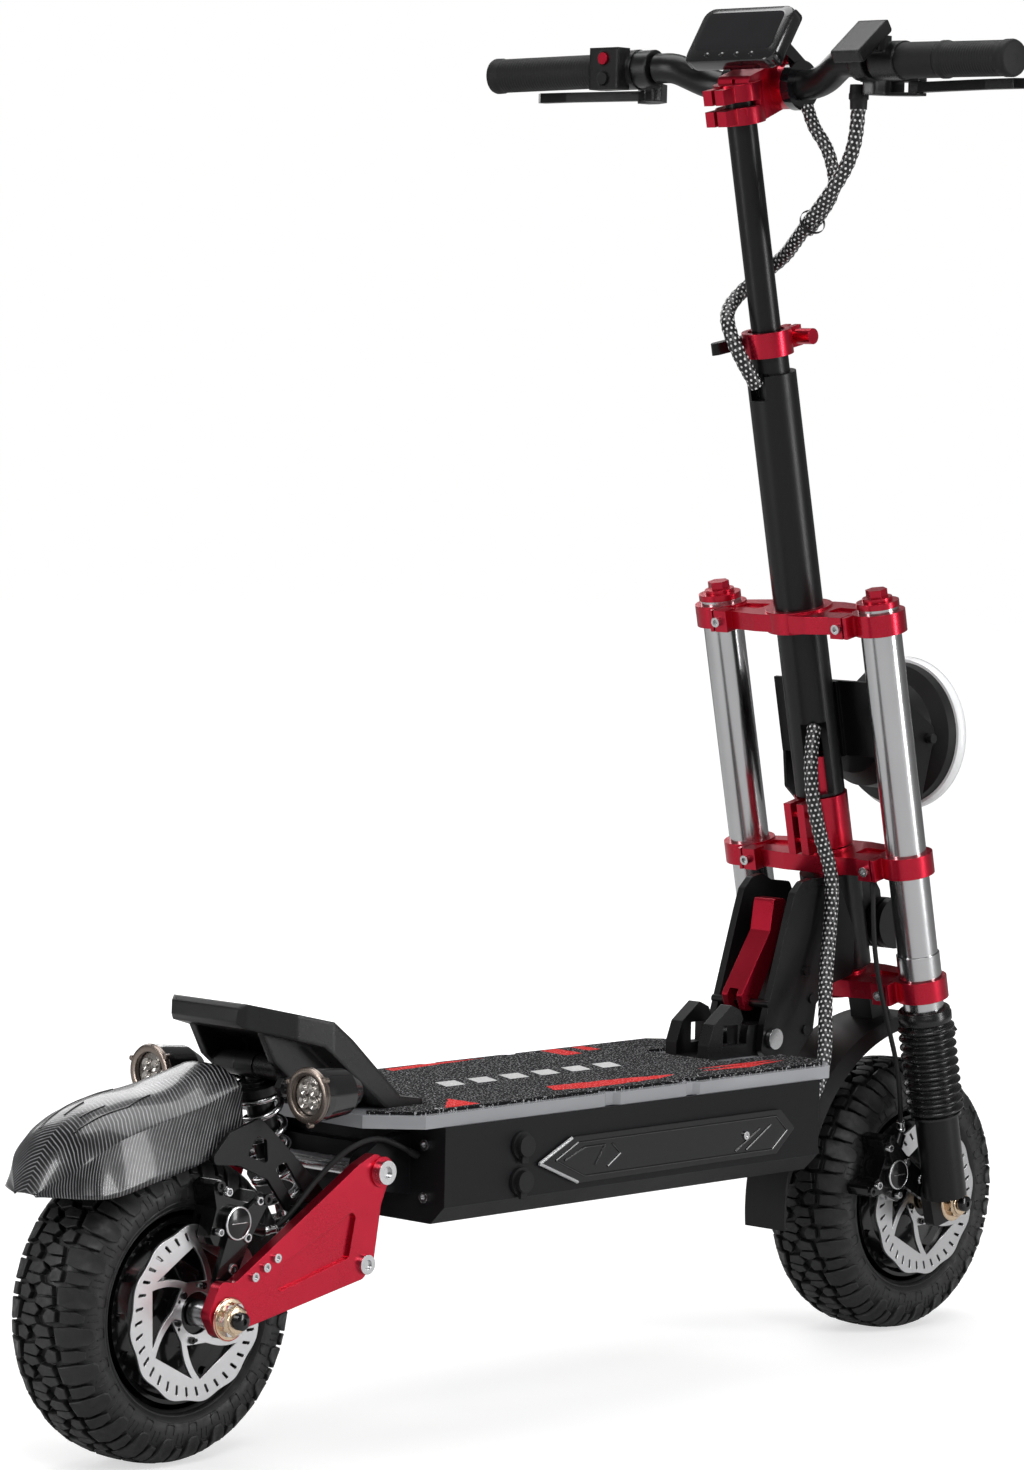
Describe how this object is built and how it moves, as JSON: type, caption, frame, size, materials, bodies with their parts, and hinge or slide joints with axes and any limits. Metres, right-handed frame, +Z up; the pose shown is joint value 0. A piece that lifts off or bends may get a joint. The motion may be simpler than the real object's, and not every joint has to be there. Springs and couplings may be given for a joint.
{
  "type": "electric kick scooter",
  "caption": "Electric kick scooter with knobbly tyres, twin-stanchion fork, folding neck, telescoping stem, box deck and rear swingarm.",
  "frame": {"origin": "on the ground under the middle of the whole scooter", "axes": "+X forward, +Y to the rider's left, +Z up"},
  "size_m": [1.326, 0.6712, 1.3355],
  "materials": {
    "deck_black": "satin black powder coat",
    "clear_lid": "clear polycarbonate",
    "grip_mat": "gritty non-slip mat with red shapes",
    "pack_wrap": "shrink wrap",
    "badge_clear": "smoked clear plate",
    "soft_rubber": "matte",
    "satin_black": "satin",
    "lamp_black": "gloss with bronze bezel",
    "steel": "zinc plated",
    "red_anodised": "red anodised",
    "carbon_plastic": "carbon pattern",
    "tyre_rubber": "knobbly off-road",
    "motor_black": "gloss black",
    "rotor_steel": "ground",
    "spring_steel": "bright",
    "chrome_tube": "polished",
    "lamp_clear": "clear ring",
    "matte_black": "matte",
    "screen": "gloss screen",
    "loom": "spiral wrap with white dots",
    "brass_nut": "yellow zinc"
  },
  "bodies": {
    "chassis": {"deck_shell": "deck_black", "deck_lid": "clear_lid", "deck_mat": "grip_mat", "power_pack": "pack_wrap", "side_badges": "badge_clear", "charge_ports": "soft_rubber", "footrest": "satin_black", "turn_signals": "lamp_black", "fold_base": "satin_black", "fold_pin": "steel", "deck_bolts": "steel", "rear_cable": "soft_rubber"},
    "swingarm": {"swingarms": "red_anodised", "swingarm_bolts": "brass_nut", "rear_fender": "carbon_plastic", "fender_brackets": "satin_black", "rear_caliper": "motor_black"},
    "rear_wheel": {"rear_tyre": "tyre_rubber", "rear_hub_motor": "motor_black", "rear_rotor": "rotor_steel"},
    "shock": {"shock_body": "satin_black", "shock_spring": "spring_steel"},
    "shock_shaft": {"shock_rod": "steel"},
    "neck": {"neck": "satin_black", "lower_loom": "loom"},
    "latch": {"latch_lever": "red_anodised"},
    "steering": {"fork_yokes": "red_anodised", "stanchions": "chrome_tube", "stem_collar": "red_anodised", "lower_stem": "satin_black", "telescope_clamp": "red_anodised", "headlight_bracket": "satin_black", "horn": "matte_black", "front_mudguard": "matte_black", "clamp_screws": "steel", "fork_bellows": "soft_rubber", "front_cable": "soft_rubber"},
    "quick_release_lever": {"quick_release": "satin_black"},
    "fork_lowers": {"fork_legs": "satin_black", "front_axle": "brass_nut", "front_caliper": "motor_black"},
    "front_wheel": {"front_tyre": "tyre_rubber", "front_hub_motor": "motor_black", "front_rotor": "rotor_steel"},
    "headlight": {"headlight_housing": "matte_black", "headlight_ring": "lamp_clear"},
    "cockpit": {"upper_tube": "satin_black", "stem_head": "red_anodised", "handlebar": "satin_black", "display": "screen", "grips": "soft_rubber", "switch_pod": "matte_black", "voltage_meter": "matte_black", "lever_perches": "satin_black", "upper_loom": "loom"},
    "throttle": {"throttle_sleeve": "soft_rubber"},
    "left_lever": {"brake_lever_left": "satin_black"},
    "right_lever": {"brake_lever_right": "satin_black"},
    "horn_switch": {"horn_button": "red_anodised"},
    "light_switch": {"light_button": "soft_rubber"}
  },
  "joints": [
    {"name": "swingarm_pivot", "type": "hinge", "parent": "chassis", "child": "swingarm", "pos_m": [-0.32, 0, 0.252], "axis": [0, 1, 0], "range_deg": [0, 8], "stiffness_Nm_per_rad": 900, "springref_deg": -5.73, "deforming": ["rear_cable"]},
    {"name": "rear_wheel_spin", "type": "hinge", "parent": "swingarm", "child": "rear_wheel", "pos_m": [-0.509, 0, 0.14], "axis": [0, 1, 0], "continuous": true},
    {"name": "shock_tilt", "type": "hinge", "parent": "chassis", "child": "shock", "pos_m": [-0.391, 0, 0.345], "axis": [0, 1, 0], "range_deg": [0, 3.5]},
    {"name": "shock_stroke", "type": "slide", "parent": "shock", "child": "shock_shaft", "axis": [-0.2849, 0, 0.9586], "range_m": [0, 0.007], "deforming": ["shock_spring"]},
    {"name": "neck_fold", "type": "hinge", "parent": "chassis", "child": "neck", "pos_m": [0.295, 0, 0.32], "axis": [0, -1, 0], "range_deg": [0, 77], "deforming": ["lower_loom"]},
    {"name": "latch_open", "type": "hinge", "parent": "neck", "child": "latch", "pos_m": [0.291, 0, 0.354], "axis": [0, -1, 0], "range_deg": [0, 35]},
    {"name": "steering_turn", "type": "hinge", "parent": "neck", "child": "steering", "pos_m": [0.43537, 0, 0.42937], "axis": [-0.2185, 0, 0.9758], "range_deg": [-32, 32], "deforming": ["lower_loom", "front_cable"]},
    {"name": "fork_travel", "type": "slide", "parent": "steering", "child": "fork_lowers", "axis": [-0.2185, 0, 0.9758], "range_m": [0, 0.04], "stiffness_N_per_m": 20000, "springref_m": -0.025, "deforming": ["fork_bellows", "front_cable"]},
    {"name": "front_wheel_spin", "type": "hinge", "parent": "fork_lowers", "child": "front_wheel", "pos_m": [0.523, 0, 0.14], "axis": [0, 1, 0], "continuous": true},
    {"name": "headlight_tilt", "type": "hinge", "parent": "steering", "child": "headlight", "pos_m": [0.495, 0, 0.615], "axis": [0, 1, 0], "range_deg": [-10, 12]},
    {"name": "stem_telescope", "type": "slide", "parent": "steering", "child": "cockpit", "axis": [-0.2185, 0, 0.9758], "range_m": [-0.15, 0], "deforming": ["upper_loom"]},
    {"name": "quick_release_open", "type": "hinge", "parent": "steering", "child": "quick_release_lever", "pos_m": [0.33724, 0.019, 1.01867], "axis": [0.2185, 0, -0.9758], "range_deg": [0, 110]},
    {"name": "throttle_twist", "type": "hinge", "parent": "cockpit", "child": "throttle", "pos_m": [0.26887, -0.217, 1.28207], "axis": [-0.0913, -0.9957, -0.0174], "range_deg": [0, 60], "stiffness_Nm_per_rad": 0.4, "springref_deg": -17.19},
    {"name": "left_brake", "type": "hinge", "parent": "cockpit", "child": "left_lever", "pos_m": [0.313, 0.172, 1.2595], "axis": [0, 0, 1], "range_deg": [0, 12.5], "stiffness_Nm_per_rad": 3, "springref_deg": -8.59},
    {"name": "right_brake", "type": "hinge", "parent": "cockpit", "child": "right_lever", "pos_m": [0.313, -0.172, 1.2595], "axis": [0, 0, -1], "range_deg": [0, 12.5], "stiffness_Nm_per_rad": 3, "springref_deg": -8.59},
    {"name": "horn_press", "type": "slide", "parent": "cockpit", "child": "horn_switch", "axis": [1, 0, 0], "range_m": [0, 0.0015], "stiffness_N_per_m": 400, "springref_m": -0.001},
    {"name": "light_press", "type": "slide", "parent": "cockpit", "child": "light_switch", "axis": [1, 0, 0], "range_m": [0, 0.0015], "stiffness_N_per_m": 400, "springref_m": -0.001}
  ],
  "couplings": [
    {"joint": "shock_tilt", "follows": "swingarm_pivot", "ratio": 0.398},
    {"joint": "shock_stroke", "follows": "swingarm_pivot", "m_per_rad": 0.0442}
  ]
}
